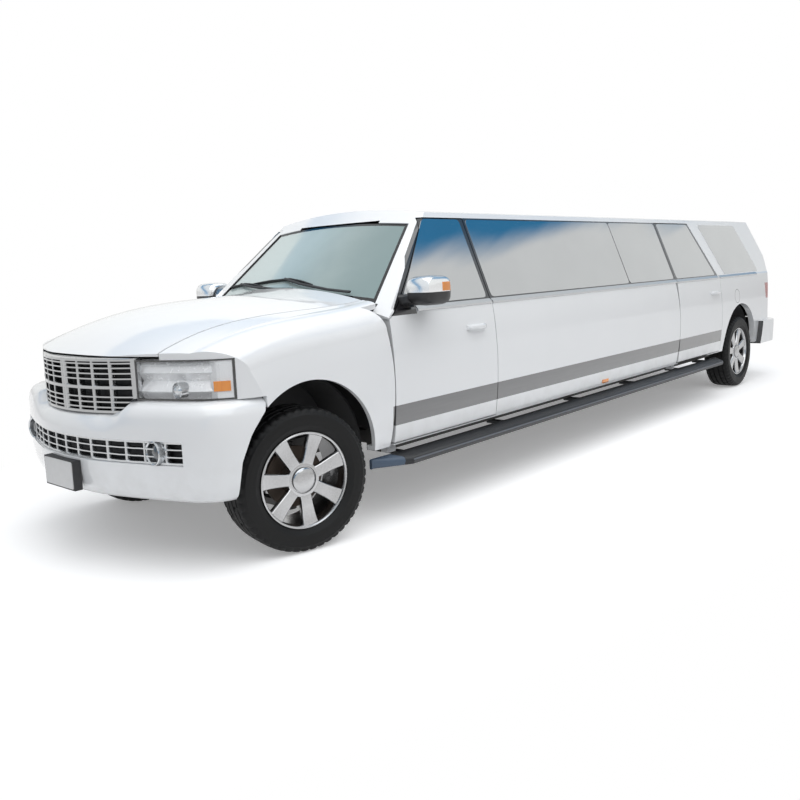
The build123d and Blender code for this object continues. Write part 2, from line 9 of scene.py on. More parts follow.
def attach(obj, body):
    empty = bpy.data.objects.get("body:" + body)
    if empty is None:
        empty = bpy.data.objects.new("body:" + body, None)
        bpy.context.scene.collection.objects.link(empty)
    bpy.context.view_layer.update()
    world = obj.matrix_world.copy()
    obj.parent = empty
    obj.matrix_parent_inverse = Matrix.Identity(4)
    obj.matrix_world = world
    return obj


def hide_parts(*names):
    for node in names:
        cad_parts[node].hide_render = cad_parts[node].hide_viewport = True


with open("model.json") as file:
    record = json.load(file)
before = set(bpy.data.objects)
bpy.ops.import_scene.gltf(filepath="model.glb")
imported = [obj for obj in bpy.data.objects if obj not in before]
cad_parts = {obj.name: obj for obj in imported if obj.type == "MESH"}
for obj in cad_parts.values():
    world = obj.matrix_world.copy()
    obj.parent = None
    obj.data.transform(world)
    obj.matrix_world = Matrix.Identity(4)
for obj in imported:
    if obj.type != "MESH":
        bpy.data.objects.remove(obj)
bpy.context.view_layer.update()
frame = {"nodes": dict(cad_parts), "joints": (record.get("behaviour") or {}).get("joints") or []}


# Studio: a pale paper floor that the car stands on, lit from above by one broad soft lamp
# and by an even sky. The paper fades to plain white, and bright pieces mirror a clear day.
class Wire:
    """A shader socket that takes part in Python sums."""

    def __init__(self, tree, socket=None):
        self.tree = tree
        self.socket = socket

    def node(self, kind, settings=(), inputs=(), output=0):
        """A new node, set first and then fed by values or wires."""
        made = self.tree.nodes.new(kind)
        for name, value in dict(settings).items():
            setattr(made, name, value)
        for name, value in dict(inputs).items():
            if isinstance(value, Wire):
                self.tree.links.new(value.socket, made.inputs[name])
            else:
                made.inputs[name].default_value = value
        return Wire(self.tree, made.outputs[output] if len(made.outputs) else None)

    def maths(self, operation, first, second=0.0):
        """A sum of one or two values."""
        return self.node("ShaderNodeMath", {"operation": operation}, {0: first, 1: second})

    def __add__(self, other):
        return self.maths("ADD", self, other)

    def __radd__(self, other):
        return self.maths("ADD", other, self)

    def __sub__(self, other):
        return self.maths("SUBTRACT", self, other)

    def __rsub__(self, other):
        return self.maths("SUBTRACT", other, self)

    def __mul__(self, other):
        return self.maths("MULTIPLY", self, other)

    def __rmul__(self, other):
        return self.maths("MULTIPLY", other, self)

    def __gt__(self, other):
        return self.maths("GREATER_THAN", self, other)

    def __lt__(self, other):
        return self.maths("LESS_THAN", self, other)

    def __abs__(self):
        return self.maths("ABSOLUTE", self)

    def __or__(self, other):
        return self.maths("MAXIMUM", self, other)

    def __and__(self, other):
        return self.maths("MINIMUM", self, other)

    def ramp(self, low, high, low_value=0.0, high_value=1.0):
        """This value carried smoothly from low..high to low_value..high_value."""
        return self.node("ShaderNodeMapRange", {"interpolation_type": "SMOOTHSTEP"},
                         {0: self, 1: low, 2: high, 3: low_value, 4: high_value})

    def tint(self, dark, light):
        """A colour between dark and light, by this value."""
        return self.node("ShaderNodeMix", {"data_type": "RGBA"}, {0: self, 6: dark, 7: light}, 2)

    def noise(self, scale, detail=2.0, stretch=(1, 1, 1), place=None):
        """Cloudy noise over the piece's own coordinates, one unit to a metre."""
        place = place or self.node("ShaderNodeTexCoord", output="Object")
        place = self.node("ShaderNodeMapping", {}, {"Vector": place, "Scale": stretch})
        return self.node("ShaderNodeTexNoise", {}, {"Vector": place, "Scale": scale, "Detail": detail})

    def axes(self, place=None):
        """The piece's own x, y and z, or those of another vector."""
        place = place or self.node("ShaderNodeTexCoord", output="Object")
        return [self.node("ShaderNodeSeparateXYZ", {}, {0: place}, axis) for axis in range(3)]

    def facing(self):
        """The piece's own normal, as x, y and z."""
        return self.axes(self.node("ShaderNodeTexCoord", output="Normal"))

    def distance(self, across, over):
        """How far a point is from the middle, by its two offsets."""
        return self.maths("POWER", across * across + over * over, 0.5)

    def bump(self, height, strength, distance):
        """A normal roughened by the height."""
        return self.node("ShaderNodeBump", {}, {"Height": height, "Strength": strength, "Distance": distance})

    def ray_is(self, *kinds):
        """One for light rays of these kinds, and nought for others."""
        found = 0.0
        for kind in kinds:
            found = self.node("ShaderNodeLightPath", output=f"Is {kind} Ray") | found
        return found

    def mixed(self, factor, shaders):
        """A mix of two shaders, given by their socket numbers."""
        return self.node("ShaderNodeMixShader", {}, {0: factor, **shaders})


def new_finish(name):
    """An empty material and the wire that its nodes start from."""
    material = bpy.data.materials.new(name)
    material.use_nodes = True
    material.node_tree.nodes.clear()
    return material, Wire(material.node_tree)


def surfaced(material, wire, sockets):
    """Ends a material in one principled surface with these sockets."""
    shader = wire.node("ShaderNodeBsdfPrincipled", {}, sockets)
    wire.node("ShaderNodeOutputMaterial", {}, {"Surface": shader})
    return material


floor_size = 120.0
fade_across = 0.4
fade_along = 0.16125
fade_start = 0.75
fade_end = 1.25
paper_lift = 0.26
white = (1, 1, 1, 1)
bpy.ops.mesh.primitive_plane_add(size=floor_size)
floor = bpy.context.object
floor.name = "paper_floor"
paper, wire = new_finish("paper")
x, y, z = wire.axes()
fade = wire.distance(x * fade_across, y * fade_along).ramp(fade_start, fade_end)
seen = wire.ray_is("Camera", "Glossy", "Transmission")
diffuse = wire.node("ShaderNodeBsdfDiffuse", {}, {"Color": (0.92, 0.92, 0.92, 1)})
lift = wire.node("ShaderNodeEmission", {}, {"Color": white, "Strength": paper_lift})
lifted = wire.node("ShaderNodeAddShader", {}, {0: diffuse, 1: lift})
near = wire.mixed(seen, {1: diffuse, 2: lifted})
glow = wire.node("ShaderNodeEmission", {}, {"Color": white, "Strength": 1.0})
far = wire.mixed(seen, {2: glow})
wire.node("ShaderNodeOutputMaterial", {}, {"Surface": wire.mixed(fade, {1: near, 2: far})})
floor.data.materials.append(paper)

sky = bpy.data.worlds.new("studio_sky")
bpy.context.scene.world = sky
sky.use_nodes = True
sky.node_tree.nodes.clear()
wire = Wire(sky.node_tree)
heading = wire.node("ShaderNodeTexCoord", output="Generated")
x, y, z = wire.axes(heading)
drift = wire.noise(3.0, 4.0, (1, 1, 5), heading)
height = z - abs(x) * 0.99 + (0.80 - y) * 0.34 + (drift - 0.5) * 0.12
blue = height.ramp(-0.02, 0.035) & height.ramp(0.12, 0.36, 1.0, 0.12)
horizon = z.ramp(-0.05, 0.16).tint((0.66, 0.65, 0.64, 1), (0.95, 0.96, 0.95, 1))
day_colour = blue.tint(horizon, (0.02, 0.24, 0.50, 1))
even = wire.node("ShaderNodeBackground", {}, {"Color": (0.94, 0.965, 1.0, 1), "Strength": 0.70})
day = wire.node("ShaderNodeBackground", {}, {"Color": day_colour, "Strength": 1.0})
plain = wire.node("ShaderNodeBackground", {}, {"Color": white, "Strength": 1.0})
lit = wire.mixed(wire.ray_is("Glossy"), {1: even, 2: day})
backdrop = wire.mixed(wire.ray_is("Camera", "Transmission"), {1: lit, 2: plain})
wire.node("ShaderNodeOutputWorld", {}, {"Surface": backdrop})

overhead = bpy.data.objects.new("overhead", bpy.data.lights.new("overhead", "AREA"))
overhead.data.shape = "RECTANGLE"
overhead.data.size = 9.0
overhead.data.size_y = 14.0
overhead.data.energy = 640
overhead.location = (3.0, -2.5, 8.0)
lamp_aim = Vector((0, 0, 0.6)) - overhead.location
overhead.rotation_euler = lamp_aim.to_track_quat("-Z", "Y").to_euler()
bpy.context.collection.objects.link(overhead)

joints = {joint["name"]: joint for joint in frame["joints"]}
front_axle = Vector(joints["steer_left"]["pos_m"]).y
camera = bpy.data.objects.new("camera", bpy.data.cameras.new("camera"))
bpy.context.collection.objects.link(camera)
bpy.context.scene.camera = camera
camera_yaw = 0.8401
camera_pitch = 0.1276
camera_roll = -0.0445
camera_place = Vector((4.2183, front_axle - 2.8916, 1.5236))
image_size = 800
focal_pixels = 812.27
image_centre = Vector((397.7, 371.4))
ahead = Vector((-math.cos(camera_yaw) * math.cos(camera_pitch),
                math.sin(camera_yaw) * math.cos(camera_pitch), -math.sin(camera_pitch)))
level = ahead.cross(Vector((0, 0, 1))).normalized()
upright = level.cross(ahead)
right = level * math.cos(camera_roll) + upright * math.sin(camera_roll)
up = upright * math.cos(camera_roll) - level * math.sin(camera_roll)
camera_turn = Matrix((right, up, -ahead)).transposed().to_4x4()
camera.matrix_world = Matrix.Translation(camera_place) @ camera_turn
camera.data.sensor_width = 36
camera.data.lens = focal_pixels / image_size * camera.data.sensor_width
camera.data.shift_x = (image_size / 2 - image_centre.x) / image_size
camera.data.shift_y = (image_centre.y - image_size / 2) / image_size
bpy.context.scene.view_settings.view_transform = "Standard"

# Frame and running gear: black waxed steel rails and floor, with cast and forged axle pieces
# and black moulded linings, bolted together under the cabin.
nodes = frame["nodes"]


def put(material, *names):
    """Gives CAD nodes this finish."""
    for name in names:
        slots = nodes[name].data.materials
        slots.clear()
        slots.append(material)


def mottled(name, noise, dark, light, rough, sockets=(), bump=None):
    """A finish whose colour and roughness drift with one noise, which may also raise its grain."""
    material, wire = new_finish(name)
    drift = wire.noise(*noise)
    least, spread = rough
    fed = {"Base Color": drift.tint((*dark, 1), (*light, 1)), "Roughness": least + drift * spread}
    if bump:
        fed["Normal"] = wire.bump(drift, *bump)
    return surfaced(material, wire, {**fed, **dict(sockets)})


waxed = mottled("waxed_steel", (6.0, 6.0), (0.02, 0.02, 0.02), (0.06, 0.055, 0.05), (0.5, 0.3))
put(waxed, "chassis_frame", "floor_pan", "door_hinges", "tailgate_hinges")
cast = mottled("cast_metal", (180.0, 4.0), (0.10, 0.095, 0.09), (0.2, 0.195, 0.19), (0.5, 0.25),
               {"Metallic": 0.7}, bump=(0.3, 0.001))
put(cast, "engine", "driveline", "radiator", "knuckle_left", "knuckle_right", "front_suspension",
    "rear_suspension")
grained = mottled("grained_plastic", (700.0, 2.0), (0.014, 0.014, 0.015), (0.03, 0.03, 0.032),
                  (0.45, 0.25), bump=(0.25, 0.0006))
put(grained, "plate_holder", "wheel_liners", "firewall", "dashboard", "partition", "steering_wheel")


# Tyres: black rubber seated on the rims, moulded with a bulged sidewall, raised rings and a
# tread of four ribs whose shoulders are cut into lugs.
def skin(rings, loop=False):
    """A closed surface through rings of points, capped at its ends unless it loops."""
    shape = bmesh.new()
    rows = [[shape.verts.new(point) for point in ring] for ring in rings]
    for first, second in zip(rows, rows[1:] + rows[:1] if loop else rows[1:]):
        for k in range(len(first)):
            n = (k + 1) % len(first)
            shape.faces.new((first[k], first[n], second[n], second[k]))
    if not loop:
        shape.faces.new(rows[0][::-1])
        shape.faces.new(rows[-1])
    bmesh.ops.recalc_face_normals(shape, faces=shape.faces)
    return shape


def joined(*shapes):
    """Several shapes in one."""
    whole = bmesh.new()
    for shape in shapes:
        mesh = bpy.data.meshes.new("joining")
        shape.to_mesh(mesh)
        shape.free()
        whole.from_mesh(mesh)
        bpy.data.meshes.remove(mesh)
    return whole


def placed(shape, place):
    """The shape carried to its place by a matrix."""
    bmesh.ops.transform(shape, matrix=place, verts=shape.verts)
    return shape


def fit(name, shape, finish, body, replaced=(), crease=35):
    """Turns a shape into a piece that rides on a body, smooth up to the crease angle."""
    mesh = bpy.data.meshes.new(name)
    shape.to_mesh(mesh)
    shape.free()
    for face in mesh.polygons:
        face.use_smooth = True
    mesh.set_sharp_from_angle(angle=math.radians(crease))
    mesh.materials.append(finish)
    piece = bpy.data.objects.new(name, mesh)
    bpy.context.collection.objects.link(piece)
    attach(piece, body)
    if replaced:
        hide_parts(*replaced)
    return piece


def turned(profile, steps=96, loop=False):
    """A shape turned about the x axis from (x, radius) points."""
    angles = [2 * math.pi * k / steps for k in range(steps)]
    rings = []
    for along, radius in profile:
        rings.append([(along, radius * math.cos(angle), radius * math.sin(angle)) for angle in angles])
    return skin(rings, loop)


wheels = []
for corner in ("front_left", "front_right", "rear_left", "rear_right"):
    spin = joints[f"wheel_{corner}_spin"]
    outward = Vector(spin["axis"]) * (1 if corner.endswith("left") else -1)
    across = Vector((0, 0, 1)).cross(outward)
    turn = Matrix((outward, across, Vector((0, 0, 1)))).transposed().to_4x4()
    wheels.append((corner, Matrix.Translation(spin["pos_m"]) @ turn))
rubber, wire = new_finish("tyre_rubber")
dust = wire.noise(14.0, 6.0)
surfaced(rubber, wire, {"Base Color": dust.tint((0.002, 0.002, 0.0022, 1), (0.007, 0.007, 0.007, 1)),
                        "Roughness": 0.42 + dust * 0.25, "Specular IOR Level": 0.25,
                        "Normal": wire.bump(wire.noise(400.0), 0.2, 0.0006)})
side_profile = [(0.100, 0.2690), (0.113, 0.2705), (0.121, 0.280), (0.1285, 0.297), (0.1305, 0.299),
                (0.1325, 0.306), (0.1320, 0.309), (0.1345, 0.325), (0.1352, 0.342), (0.1325, 0.358),
                (0.1330, 0.3600), (0.1300, 0.3670), (0.1285, 0.3680), (0.1255, 0.3790),
                (0.1190, 0.3885), (0.1125, 0.3930), (0.1020, 0.3958)]
tread_profile = [(0.084, 0.3980), (0.082, 0.3890), (0.074, 0.3890), (0.072, 0.3990), (0.034, 0.4000),
                 (0.032, 0.3900), (0.022, 0.3900), (0.020, 0.4000)]
half_profile = side_profile + tread_profile
tyre_profile = half_profile + [(-along, radius) for along, radius in reversed(half_profile)]
lug_steps = 192
lug_pitch = 4
lug_depth = 0.007
lug_squeeze = 0.985
shoulder_reach = 0.084
shoulder_radius = 0.378
rib_inner = 0.03
rib_outer = 0.08
rib_radius = 0.395


def tread_cuts(step, along, radius):
    """Whether a shoulder groove and whether a rib's slit is cut at this step round the tyre."""
    shoulder = radius > shoulder_radius and abs(along) > shoulder_reach
    groove = shoulder and (step + (2 if along < 0 else 0)) % lug_pitch == 0
    rib = radius > rib_radius and rib_inner < abs(along) < rib_outer
    slit = rib and (step + (1 if along > rib_inner else 3)) % (2 * lug_pitch) == 0
    return groove, slit


for corner, place in wheels:
    rings = []
    for along, radius in tyre_profile:
        ring = []
        for step in range(lug_steps):
            groove, slit = tread_cuts(step, along, radius)
            deep = radius - lug_depth * (groove or slit)
            angle = 2 * math.pi * step / lug_steps
            reach = along * (lug_squeeze if groove else 1)
            ring.append((reach, deep * math.cos(angle), deep * math.sin(angle)))
        rings.append(ring)
    tyre = placed(skin(rings, loop=True), place)
    fit(f"tyre_{corner}_rubber", tyre, rubber, f"wheel_{corner}", [f"tyre_{corner}"])

# Rims: cast alloy with a bright polish, bolted to the hubs: seven broad flat spokes that widen
# to a deep barrel, a plain domed cap over the hub and an iron brake disc behind.
polished = mottled("polished_alloy", (90.0, 4.0), (0.40, 0.40, 0.405), (0.50, 0.50, 0.505),
                   (0.14, 0.12), {"Metallic": 1.0})
worn_iron = mottled("worn_iron", (25.0, 5.0), (0.07, 0.045, 0.03), (0.16, 0.13, 0.11), (0.45, 0.3),
                    {"Metallic": 0.6})
barrel_profile = [(-0.118, 0.2670), (0.108, 0.2670), (0.117, 0.2650), (0.119, 0.2600), (0.116, 0.2545),
                  (0.108, 0.2500), (0.090, 0.2460), (0.030, 0.2430), (-0.100, 0.2400), (-0.118, 0.2450)]
hub_profile = [(0.046, 0.060), (0.050, 0.092), (0.086, 0.098), (0.094, 0.095), (0.097, 0.088),
               (0.097, 0.076), (0.090, 0.0735), (0.090, 0.0695), (0.102, 0.0675), (0.109, 0.058),
               (0.1135, 0.040), (0.116, 0.012)]
disc_profile = [(-0.040, 0.050), (-0.040, 0.085), (-0.034, 0.088), (-0.034, 0.171), (-0.009, 0.171),
                (-0.009, 0.096), (0.010, 0.092), (0.014, 0.050)]
spoke_count = 7
spoke_phase = 0.39
spoke_depth = 0.044
spoke_edge = 0.007
spoke_bevel = 0.003
spoke_shoulder = 0.012
spoke_draft = 0.008
# Each row is the distance from the hub, half the spoke's width and its face's place along x.
spoke_rows = [(0.080, 0.037, 0.096), (0.110, 0.0360, 0.0985), (0.150, 0.0380, 0.0990),
              (0.200, 0.0420, 0.1010), (0.236, 0.0460, 0.1060), (0.256, 0.0490, 0.1090)]
for corner, place in wheels:
    spokes = []
    for k in range(spoke_count):
        turn = Matrix.Rotation(2 * math.pi * (k - spoke_phase) / spoke_count, 4, "X")
        rings = []
        for reach, half, face in spoke_rows:
            flank = [(face, half - spoke_edge), (face - spoke_bevel, half - spoke_edge / 2),
                     (face - spoke_shoulder, half), (face - spoke_depth, half - spoke_draft)]
            outline = flank + [(along, -across) for along, across in reversed(flank)]
            rings.append([turn @ Vector((along, across, reach)) for along, across in outline])
        spokes.append(skin(rings))
    rim = joined(turned(barrel_profile, 128, loop=True), turned(hub_profile, 64), *spokes)
    fit(f"rim_{corner}_alloy", placed(rim, place), polished, f"wheel_{corner}",
        [f"rim_{corner}"], crease=28)
    disc = placed(turned(disc_profile, 72), place)
    fit(f"brake_disc_{corner}", disc, worn_iron, f"wheel_{corner}")

# Wheel well walls: black moulded plates that close the inner end of each wheel liner, cut as
# a part of a disc and clipped to the liner's edge.
rear_axle = Vector(joints["wheel_rear_left_spin"]["pos_m"]).y
arch_z = 0.440
well_radius = 0.520
well_faces = (0.552, 0.554, 0.556)
arc_steps = 32
shapes = []
for axle, foot in ((front_axle, 0.640), (rear_axle, 0.562)):
    spread = math.acos((foot - arch_z) / well_radius)
    angles = [math.pi / 2 + spread * (1 - 2 * k / arc_steps) for k in range(arc_steps + 1)]
    outline = [(axle + well_radius * math.cos(angle), arch_z + well_radius * math.sin(angle))
               for angle in angles]
    for side in (-1, 1):
        shapes.append(skin([[(side * x, y, z) for y, z in outline] for x in well_faces]))
fit("wheel_well_walls", joined(*shapes), grained, "body")

# Body panels: pressed steel in white gloss paint, with a clear coat, a faint orange peel and
# road film low down. Door frames and the posts between the panes are gloss black, and a grey
# stripe runs along doors and sides. Inside faces wear grey trim cloth.
stripe_low = 0.576
stripe_high = 0.698
stripe_front = front_axle + 0.652
stripe_rear = front_axle + 5.984
stripe_reach = 0.94
flap_y = front_axle + 6.465
flap_z = 1.034
flap_radius = 0.075
flap_line = 0.003
belt_high = 1.285
foot_x = 0.950
foot_z = 1.275
side_lean = 0.394


def painted(name, inner, black=None, fuel_flap=False):
    """White paint with the stripe, black window frames and trim cloth on the inner faces."""
    material, wire = new_finish(name)
    x, y, z = wire.axes()
    film = z.ramp(0.38, 0.75, 1.0, 0.0) * wire.noise(9.0, 5.0).ramp(0.35, 0.75)
    colour = wire.noise(2.2).tint((0.79, 0.805, 0.82, 1), (0.83, 0.84, 0.85, 1))
    colour = (film * 0.25).tint(colour, (0.52, 0.51, 0.49, 1))
    band = (z > stripe_low) & (z < stripe_high) & (y > stripe_front) & (y < stripe_rear)
    grey = wire.noise(60.0, 3.0, (1, 0.05, 1)).tint((0.115, 0.115, 0.117, 1), (0.15, 0.15, 0.152, 1))
    colour = (band & (abs(x) > stripe_reach)).tint(colour, grey)
    if black:
        colour = black(x, y - front_axle, z).tint(colour, (0.008, 0.008, 0.010, 1))
    if fuel_flap:
        gap = abs(wire.distance(y - flap_y, z - flap_z) - flap_radius)
        colour = ((gap < flap_line) & (x > 0.5)).tint(colour, (0.12, 0.12, 0.125, 1))
    within = inner(x, *wire.facing())
    cloth = wire.noise(300.0).tint((0.05, 0.05, 0.052, 1), (0.09, 0.09, 0.092, 1))
    return surfaced(material, wire, {"Base Color": within.tint(colour, cloth),
                                     "Roughness": 0.32 + film * 0.2 + within * 0.4,
                                     "Coat Weight": 1.0 - within, "Coat Roughness": 0.03,
                                     "Normal": wire.bump(wire.noise(260.0, 1.0), 0.03, 0.0006)})


def inner_side(x, across, along, up):
    """Faces that look in from the sides."""
    return x * across < -0.3


def inner_top(x, across, along, up):
    """Faces that look down."""
    return up < -0.75


def inner_back(x, across, along, up):
    """Faces at the tail that look forward."""
    return along < -0.5


def inner_nose(x, across, along, up):
    """Faces at the nose that look back."""
    return along > 0.5


def tail_frame(x, s, z):
    """The frame round the tailgate's pane, which narrows upwards."""
    foot = 1.306
    head = 1.792
    half_width = 0.957 - z * 0.227
    return (z > foot) & (z < head) & (abs(x) < half_width)


def door_frame(x, s, z):
    """The doors' window frames, and the patch behind the mirror's arm."""
    patch_foot = 1.235
    patch_rear = 0.935
    return (z > belt_high - 0.005) | ((z > patch_foot) & (s < patch_rear))


def post_frame(x, s, z):
    """The posts between the side panes, and the seal along the windscreen post."""
    posts_front = 1.744
    seal_foot = 1.24
    seal_width = 0.030
    seal_front = z * 0.952 - 0.473
    side_plane = foot_x - (z - foot_z) * side_lean
    seal = (abs(x) > side_plane - seal_width) & (s > seal_front) & (z > seal_foot)
    return ((s > posts_front) & (z > belt_high - 0.023)) | seal


put(painted("door_paint", inner_side, door_frame), "front_door_left", "front_door_right",
    "rear_door_left", "rear_door_right")
put(painted("post_paint", inner_side, post_frame), "pillars")
put(painted("side_paint", inner_side, fuel_flap=True), "side_panels", "quarter_panels", "fenders")
put(painted("top_paint", inner_top), "roof", "hood")
put(painted("tail_paint", inner_back, tail_frame), "tailgate")
put(painted("rear_paint", inner_back), "rear_panel", "rear_bumper")


# Glass: grey privacy panes with a mirror film along the cabin, set flush over their black
# frames, and a green-grey laminated windscreen with a black fired border and a painted reflection.
def rounded(outline, radius, steps=5):
    """An outline of (across, up) points with its corners rounded."""
    corners = [Vector(point) for point in outline]
    points = []
    for before, corner, after in zip(corners[-1:] + corners[:-1], corners, corners[1:] + corners[:1]):
        start = corner + (before - corner).normalized() * radius
        end = corner + (after - corner).normalized() * radius
        for k in range(steps + 1):
            t = k / steps
            points.append(start.lerp(corner, t).lerp(corner.lerp(end, t), t))
    return points


def mirrored(shape):
    """The same shape for the other side of the car."""
    twin = placed(shape.copy(), Matrix.Diagonal((-1, 1, 1, 1)))
    bmesh.ops.reverse_faces(twin, faces=twin.faces)
    return twin


privacy = mottled("privacy_glass", (3.0, 3.0), (0.52, 0.53, 0.54), (0.58, 0.59, 0.60), (0.02, 0.02),
                  {"Metallic": 0.96, "IOR": 1.5, "Alpha": 0.94, "Coat Weight": 0.4})
put(privacy, "tailgate_glass")
low = 1.292
high = 1.833
pane_corner = 0.035
pane_faces = (-0.003, 0.0, 0.002)
# Each row is the pane's name, the nodes that it stands for on the left and on the right, and its
# outline as distances behind the front axle and heights.
pane_rows = [
    ("front_door_glass", ["front_door_glass_left"], ["front_door_glass_right"],
     [(0.818, low), (1.050, 1.545), (1.302, high), (1.700, high), (1.712, low)]),
    ("rear_door_glass", ["rear_door_glass_left"], ["rear_door_glass_right"],
     [(4.915, low), (4.915, high), (5.655, high), (5.915, low)]),
    ("stretch_front", [], [], [(1.772, low), (1.772, high), (3.893, high), (3.893, low)]),
    ("stretch_rear", [], [], [(3.907, low), (3.907, high), (4.846, high), (4.846, low)]),
    ("quarter", ["side_glass"], [], [(6.190, low), (5.955, high), (7.045, high), (7.282, low)])]
for name, left_nodes, right_nodes, outline in pane_rows:
    corners = rounded(outline, pane_corner)
    rings = []
    for proud in pane_faces:
        rings.append([(foot_x - (z - foot_z) * side_lean + proud, front_axle + s, z) for s, z in corners])
    pane = skin(rings)
    for side, shape, replaced in (("right", mirrored(pane), right_nodes), ("left", pane, left_nodes)):
        body = name.replace("glass", side) if name.endswith("glass") else "body"
        fit(f"{name}_pane_{side}", shape, privacy, body, replaced)
screen_y = front_axle + 1.270
screen_z = 1.815
slope_y = 0.7574
slope_z = 0.6529
laminated, wire = new_finish("laminated_glass")
x, y, z = wire.axes()
rise = (y - screen_y) * slope_y + (z - screen_z) * slope_z
border_top = -0.034
border_foot = -0.700
border_side = 0.622 - rise * 0.225
border = (abs(x) > border_side) | (rise > border_top) | (rise < border_foot)
haze = wire.noise(2.0, 3.0)
# Painted reflection on the windscreen: pale green on the right, darker green towards the left, its edge
# blurred by noise.
painted_reflection_tint = (x + (haze - 0.5) * 0.5).ramp(-0.55, 0.65).tint((0.64, 0.74, 0.73, 1), (0.26, 0.35, 0.35, 1))
surfaced(laminated, wire, {"Base Color": border.tint(painted_reflection_tint, (0.008, 0.008, 0.009, 1)),
                           "Roughness": 0.04 + haze * 0.04, "IOR": 1.5, "Alpha": 0.78 + border * 0.22,
                           "Coat Weight": 0.3})
put(laminated, "windscreen")


# Wipers: two black pressed steel arms from the cowl, each with a thin rubber blade that lies
# on the windscreen.
def tree_of(*names):
    """A search tree over these CAD nodes."""
    points = []
    faces = []
    for name in names:
        mesh = nodes[name].data
        start = len(points)
        points.extend(vertex.co.copy() for vertex in mesh.vertices)
        faces.extend([start + index for index in face.vertices] for face in mesh.polygons)
    return BVHTree.FromPolygons(points, faces)


def rail(path, half_width, half_height, side=Vector((1, 0, 0)), up=Vector((0, 0, 1))):
    """A bar with chamfered edges along a path."""
    chamfer = 0.6
    corners = [(-1, -chamfer), (-chamfer, -1), (chamfer, -1), (1, -chamfer),
               (1, chamfer), (chamfer, 1), (-chamfer, 1), (-1, chamfer)]
    rings = []
    for point in path:
        rings.append([point + side * (across * half_width) + up * (over * half_height)
                      for across, over in corners])
    return skin(rings)


screen_tree = tree_of("windscreen")
screen_rise = Vector((0, slope_y, slope_z))
screen_normal = Vector((0, -slope_z, slope_y))
screen_top = Vector((0, screen_y, screen_z))
screen_edge = -0.74
search_reach = 0.3
wiper_shifts = (0.0, -0.52)
# Points are distances across the glass and up its slope from the top edge.
blade_points = [(-0.42, -0.600), (-0.24, -0.588), (-0.035, -0.580), (0.10, -0.605), (0.23, -0.640)]
arm_points = [(0.60, -0.690), (0.40, -0.684), (0.12, -0.640), (-0.08, -0.585)]
# Each row is the bar's points, half its width, half its height and its distance off the glass.
wiper_rows = [(blade_points, 0.006, 0.010, 0.012), (arm_points, 0.009, 0.005, 0.024)]
shapes = []
for shift in wiper_shifts:
    for points, half_width, half_height, lift in wiper_rows:
        path = []
        for across, climb in points:
            start = screen_top + screen_rise * climb + screen_normal * search_reach
            start.x = max(screen_edge, across + shift)
            hit = screen_tree.ray_cast(start, -screen_normal)[0]
            if hit:
                path.append(hit + screen_normal * lift)
        if len(path) > 1:
            shapes.append(rail(path, half_width, half_height, screen_rise, screen_normal))
fit("wipers", joined(*shapes), grained, "body")


# Front bumper: one moulded skin in body colour, rounded over its top, tucked in at its foot
# and cut for the lower grille; its ends follow the wheel arches.
def smooth(outline, steps=12):
    """A dense run of points on a smooth curve through the given ones."""
    points = [Vector(point) for point in outline]
    ends = [points[0]] + points + [points[-1]]
    dense = []
    for a, b, c, d in zip(ends, ends[1:], ends[2:], ends[3:]):
        for k in range(steps):
            t = k / steps
            bend = (a * 2 - b * 5 + c * 4 - d) * (t * t) + (b * 3 - a - c * 3 + d) * (t ** 3)
            dense.append(b + ((c - a) * t + bend) * 0.5)
    dense.append(points[-1])
    return dense


def thickened(rows, thickness, skip=None):
    """A closed shell on a grid of points, without the faces that skip names."""
    shape = bmesh.new()
    grid = [[shape.verts.new(point) for point in row] for row in rows]
    for i in range(len(grid) - 1):
        for k in range(len(grid[i]) - 1):
            if not (skip and skip(i, k)):
                shape.faces.new((grid[i][k], grid[i][k + 1], grid[i + 1][k + 1], grid[i + 1][k]))
    loose = [vertex for vertex in shape.verts if not vertex.link_faces]
    bmesh.ops.delete(shape, geom=loose, context="VERTS")
    bmesh.ops.recalc_face_normals(shape, faces=shape.faces)
    bmesh.ops.solidify(shape, geom=shape.faces[:], thickness=thickness)
    bmesh.ops.recalc_face_normals(shape, faces=shape.faces)
    return shape


bumper_end = 0.302
half_plan = smooth([(1.003, -bumper_end), (1.003, -0.44), (0.993, -0.53), (0.955, -0.61),
                    (0.875, -0.680), (0.750, -0.735), (0.500, -0.820), (0.250, -0.885), (0.000, -0.905)])
plan = half_plan + [Vector((-point.x, point.y)) for point in reversed(half_plan[:-1])]
plan_middle = Vector((0, -0.3))
slot_low = 0.598
slot_high = 0.720
slot_half = 0.842
arch_radius = 0.505
arch_columns = 40
column_stride = 3
middle_top = 0.838
lamp_rise = 0.067
rise_start = 0.41
rise_width = 0.08
bumper_skin = 0.03
# Each row is whether its level is measured down from the top edge, that level, and how far the
# skin is drawn in there.
slot_row = (False, slot_high, 0.0)
bumper_rows = [(True, 0.0, 0.120), (True, 0.003, 0.062), (True, 0.014, 0.036), (True, 0.036, 0.015),
               (True, 0.074, 0.003), (False, 0.752, 0.0), slot_row, (False, slot_low, 0.0),
               (False, 0.520, 0.003), (False, 0.462, 0.012), (False, 0.428, 0.028),
               (False, 0.404, 0.054), (False, 0.397, 0.095)]


